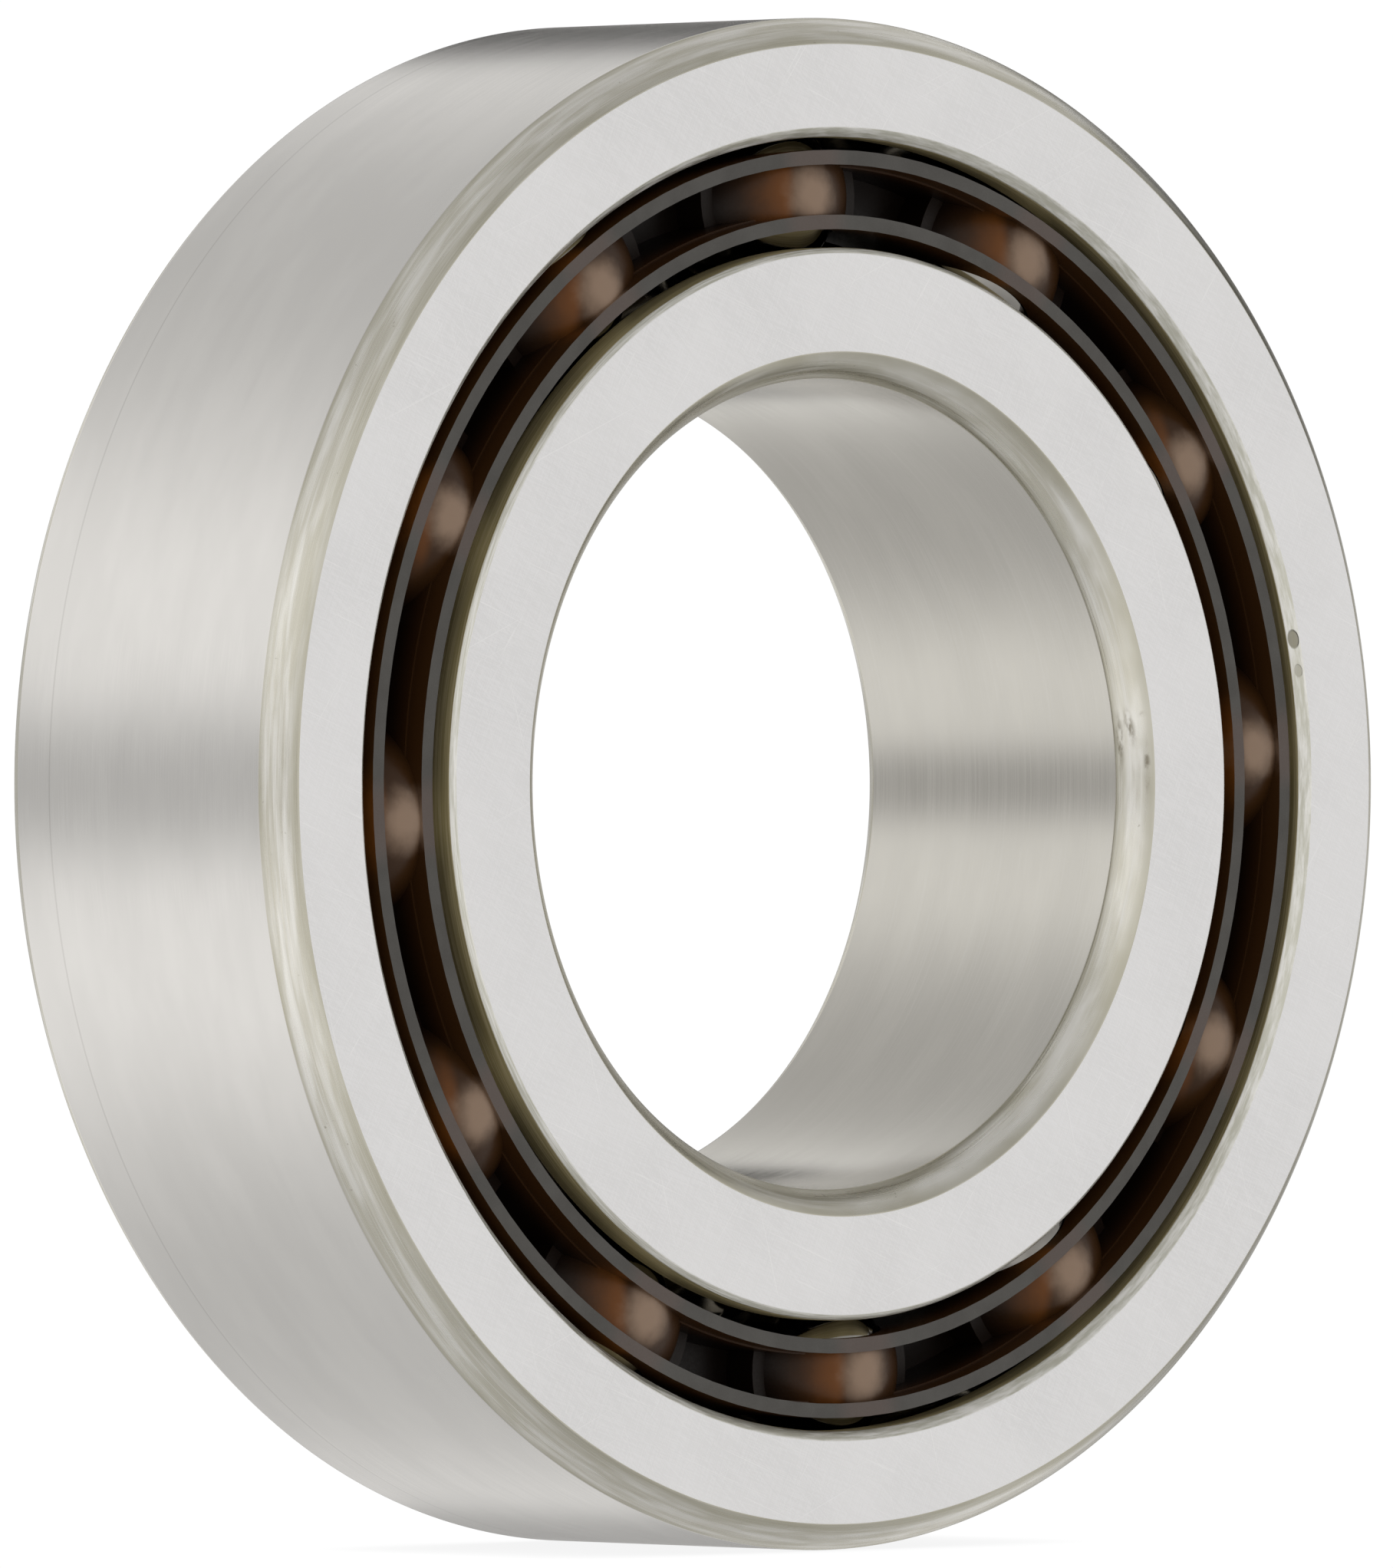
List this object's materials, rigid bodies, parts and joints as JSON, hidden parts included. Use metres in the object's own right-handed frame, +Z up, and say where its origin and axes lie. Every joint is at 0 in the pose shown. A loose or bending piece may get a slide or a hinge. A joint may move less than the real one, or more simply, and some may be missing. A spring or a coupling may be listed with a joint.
{
  "type": "double row angular contact ball bearing",
  "caption": "Open ball bearing with two rows of steel balls in dark moulded snap cages, between a ground outer ring and a ground inner ring.",
  "frame": {"origin": "centre of the bearing, on its axis and midway between its faces", "axes": "+Y along the bearing's axis towards the rear face; the front face looks towards -Y; +Z up"},
  "size_m": [0.085, 0.023, 0.085],
  "materials": {
    "ring_steel": "ground",
    "ball_steel": "polished",
    "cage_polyamide": "moulded, glass-filled"
  },
  "bodies": {
    "outer_ring": {"outer_ring": "ring_steel"},
    "inner_ring": {"inner_ring": "ring_steel"},
    "front_cage": {"front_cage": "cage_polyamide"},
    "rear_cage": {"rear_cage": "cage_polyamide"},
    "front_ball_01": {"front_ball_01": "ball_steel"},
    "front_ball_02": {"front_ball_02": "ball_steel"},
    "front_ball_03": {"front_ball_03": "ball_steel"},
    "front_ball_04": {"front_ball_04": "ball_steel"},
    "front_ball_05": {"front_ball_05": "ball_steel"},
    "front_ball_06": {"front_ball_06": "ball_steel"},
    "front_ball_07": {"front_ball_07": "ball_steel"},
    "front_ball_08": {"front_ball_08": "ball_steel"},
    "front_ball_09": {"front_ball_09": "ball_steel"},
    "front_ball_10": {"front_ball_10": "ball_steel"},
    "front_ball_11": {"front_ball_11": "ball_steel"},
    "front_ball_12": {"front_ball_12": "ball_steel"},
    "rear_ball_01": {"rear_ball_01": "ball_steel"},
    "rear_ball_02": {"rear_ball_02": "ball_steel"},
    "rear_ball_03": {"rear_ball_03": "ball_steel"},
    "rear_ball_04": {"rear_ball_04": "ball_steel"},
    "rear_ball_05": {"rear_ball_05": "ball_steel"},
    "rear_ball_06": {"rear_ball_06": "ball_steel"},
    "rear_ball_07": {"rear_ball_07": "ball_steel"},
    "rear_ball_08": {"rear_ball_08": "ball_steel"},
    "rear_ball_09": {"rear_ball_09": "ball_steel"},
    "rear_ball_10": {"rear_ball_10": "ball_steel"},
    "rear_ball_11": {"rear_ball_11": "ball_steel"},
    "rear_ball_12": {"rear_ball_12": "ball_steel"}
  },
  "joints": [
    {"name": "inner_ring_spin", "type": "hinge", "parent": "outer_ring", "child": "inner_ring", "pos_m": [0, 0, 0], "axis": [0, 1, 0], "continuous": true},
    {"name": "front_cage_spin", "type": "hinge", "parent": "outer_ring", "child": "front_cage", "pos_m": [0, 0, 0], "axis": [0, 1, 0], "continuous": true},
    {"name": "rear_cage_spin", "type": "hinge", "parent": "outer_ring", "child": "rear_cage", "pos_m": [0, 0, 0], "axis": [0, 1, 0], "continuous": true},
    {"name": "front_ball_01_spin", "type": "hinge", "parent": "front_cage", "child": "front_ball_01", "pos_m": [0.0326, -0.00524, 0.00197], "axis": [-0.4219, 0.9063, -0.0254], "continuous": true},
    {"name": "rear_ball_01_spin", "type": "hinge", "parent": "rear_cage", "child": "rear_ball_01", "pos_m": [0.03098, 0.00524, 0.01034], "axis": [0.4009, 0.9063, 0.1337], "continuous": true},
    {"name": "front_ball_02_spin", "type": "hinge", "parent": "front_cage", "child": "front_ball_02", "pos_m": [0.02725, -0.00524, 0.018], "axis": [-0.3526, 0.9063, -0.233], "continuous": true},
    {"name": "rear_ball_02_spin", "type": "hinge", "parent": "rear_cage", "child": "rear_ball_02", "pos_m": [0.02166, 0.00524, 0.02444], "axis": [0.2803, 0.9063, 0.3163], "continuous": true},
    {"name": "front_ball_03_spin", "type": "hinge", "parent": "front_cage", "child": "front_ball_03", "pos_m": [0.0146, -0.00524, 0.02922], "axis": [-0.1889, 0.9063, -0.3781], "continuous": true},
    {"name": "rear_ball_03_spin", "type": "hinge", "parent": "rear_cage", "child": "rear_ball_03", "pos_m": [0.00654, 0.00524, 0.032], "axis": [0.0846, 0.9063, 0.4141], "continuous": true},
    {"name": "front_ball_04_spin", "type": "hinge", "parent": "front_cage", "child": "front_ball_04", "pos_m": [-0.00197, -0.00524, 0.0326], "axis": [0.0254, 0.9063, -0.4219], "continuous": true},
    {"name": "rear_ball_04_spin", "type": "hinge", "parent": "rear_cage", "child": "rear_ball_04", "pos_m": [-0.01034, 0.00524, 0.03098], "axis": [-0.1337, 0.9063, 0.4009], "continuous": true},
    {"name": "front_ball_05_spin", "type": "hinge", "parent": "front_cage", "child": "front_ball_05", "pos_m": [-0.018, -0.00524, 0.02725], "axis": [0.233, 0.9063, -0.3526], "continuous": true},
    {"name": "rear_ball_05_spin", "type": "hinge", "parent": "rear_cage", "child": "rear_ball_05", "pos_m": [-0.02444, 0.00524, 0.02166], "axis": [-0.3163, 0.9063, 0.2803], "continuous": true},
    {"name": "front_ball_06_spin", "type": "hinge", "parent": "front_cage", "child": "front_ball_06", "pos_m": [-0.02922, -0.00524, 0.0146], "axis": [0.3781, 0.9063, -0.1889], "continuous": true},
    {"name": "rear_ball_06_spin", "type": "hinge", "parent": "rear_cage", "child": "rear_ball_06", "pos_m": [-0.032, 0.00524, 0.00654], "axis": [-0.4141, 0.9063, 0.0846], "continuous": true},
    {"name": "front_ball_07_spin", "type": "hinge", "parent": "front_cage", "child": "front_ball_07", "pos_m": [-0.0326, -0.00524, -0.00197], "axis": [0.4219, 0.9063, 0.0254], "continuous": true},
    {"name": "rear_ball_07_spin", "type": "hinge", "parent": "rear_cage", "child": "rear_ball_07", "pos_m": [-0.03098, 0.00524, -0.01034], "axis": [-0.4009, 0.9063, -0.1337], "continuous": true},
    {"name": "front_ball_08_spin", "type": "hinge", "parent": "front_cage", "child": "front_ball_08", "pos_m": [-0.02725, -0.00524, -0.018], "axis": [0.3526, 0.9063, 0.233], "continuous": true},
    {"name": "rear_ball_08_spin", "type": "hinge", "parent": "rear_cage", "child": "rear_ball_08", "pos_m": [-0.02166, 0.00524, -0.02444], "axis": [-0.2803, 0.9063, -0.3163], "continuous": true},
    {"name": "front_ball_09_spin", "type": "hinge", "parent": "front_cage", "child": "front_ball_09", "pos_m": [-0.0146, -0.00524, -0.02922], "axis": [0.1889, 0.9063, 0.3781], "continuous": true},
    {"name": "rear_ball_09_spin", "type": "hinge", "parent": "rear_cage", "child": "rear_ball_09", "pos_m": [-0.00654, 0.00524, -0.032], "axis": [-0.0846, 0.9063, -0.4141], "continuous": true},
    {"name": "front_ball_10_spin", "type": "hinge", "parent": "front_cage", "child": "front_ball_10", "pos_m": [0.00197, -0.00524, -0.0326], "axis": [-0.0254, 0.9063, 0.4219], "continuous": true},
    {"name": "rear_ball_10_spin", "type": "hinge", "parent": "rear_cage", "child": "rear_ball_10", "pos_m": [0.01034, 0.00524, -0.03098], "axis": [0.1337, 0.9063, -0.4009], "continuous": true},
    {"name": "front_ball_11_spin", "type": "hinge", "parent": "front_cage", "child": "front_ball_11", "pos_m": [0.018, -0.00524, -0.02725], "axis": [-0.233, 0.9063, 0.3526], "continuous": true},
    {"name": "rear_ball_11_spin", "type": "hinge", "parent": "rear_cage", "child": "rear_ball_11", "pos_m": [0.02444, 0.00524, -0.02166], "axis": [0.3163, 0.9063, -0.2803], "continuous": true},
    {"name": "front_ball_12_spin", "type": "hinge", "parent": "front_cage", "child": "front_ball_12", "pos_m": [0.02922, -0.00524, -0.0146], "axis": [-0.3781, 0.9063, 0.1889], "continuous": true},
    {"name": "rear_ball_12_spin", "type": "hinge", "parent": "rear_cage", "child": "rear_ball_12", "pos_m": [0.032, 0.00524, -0.00654], "axis": [0.4141, 0.9063, -0.0846], "continuous": true}
  ],
  "couplings": [
    {"joint": "front_cage_spin", "follows": "inner_ring_spin", "ratio": 0.42841},
    {"joint": "rear_cage_spin", "follows": "inner_ring_spin", "ratio": 0.42841},
    {"joint": "front_ball_01_spin", "follows": "inner_ring_spin", "ratio": -3.1002},
    {"joint": "rear_ball_01_spin", "follows": "inner_ring_spin", "ratio": -3.1002},
    {"joint": "front_ball_02_spin", "follows": "inner_ring_spin", "ratio": -3.1002},
    {"joint": "rear_ball_02_spin", "follows": "inner_ring_spin", "ratio": -3.1002},
    {"joint": "front_ball_03_spin", "follows": "inner_ring_spin", "ratio": -3.1002},
    {"joint": "rear_ball_03_spin", "follows": "inner_ring_spin", "ratio": -3.1002},
    {"joint": "front_ball_04_spin", "follows": "inner_ring_spin", "ratio": -3.1002},
    {"joint": "rear_ball_04_spin", "follows": "inner_ring_spin", "ratio": -3.1002},
    {"joint": "front_ball_05_spin", "follows": "inner_ring_spin", "ratio": -3.1002},
    {"joint": "rear_ball_05_spin", "follows": "inner_ring_spin", "ratio": -3.1002},
    {"joint": "front_ball_06_spin", "follows": "inner_ring_spin", "ratio": -3.1002},
    {"joint": "rear_ball_06_spin", "follows": "inner_ring_spin", "ratio": -3.1002},
    {"joint": "front_ball_07_spin", "follows": "inner_ring_spin", "ratio": -3.1002},
    {"joint": "rear_ball_07_spin", "follows": "inner_ring_spin", "ratio": -3.1002},
    {"joint": "front_ball_08_spin", "follows": "inner_ring_spin", "ratio": -3.1002},
    {"joint": "rear_ball_08_spin", "follows": "inner_ring_spin", "ratio": -3.1002},
    {"joint": "front_ball_09_spin", "follows": "inner_ring_spin", "ratio": -3.1002},
    {"joint": "rear_ball_09_spin", "follows": "inner_ring_spin", "ratio": -3.1002},
    {"joint": "front_ball_10_spin", "follows": "inner_ring_spin", "ratio": -3.1002},
    {"joint": "rear_ball_10_spin", "follows": "inner_ring_spin", "ratio": -3.1002},
    {"joint": "front_ball_11_spin", "follows": "inner_ring_spin", "ratio": -3.1002},
    {"joint": "rear_ball_11_spin", "follows": "inner_ring_spin", "ratio": -3.1002},
    {"joint": "front_ball_12_spin", "follows": "inner_ring_spin", "ratio": -3.1002},
    {"joint": "rear_ball_12_spin", "follows": "inner_ring_spin", "ratio": -3.1002}
  ]
}
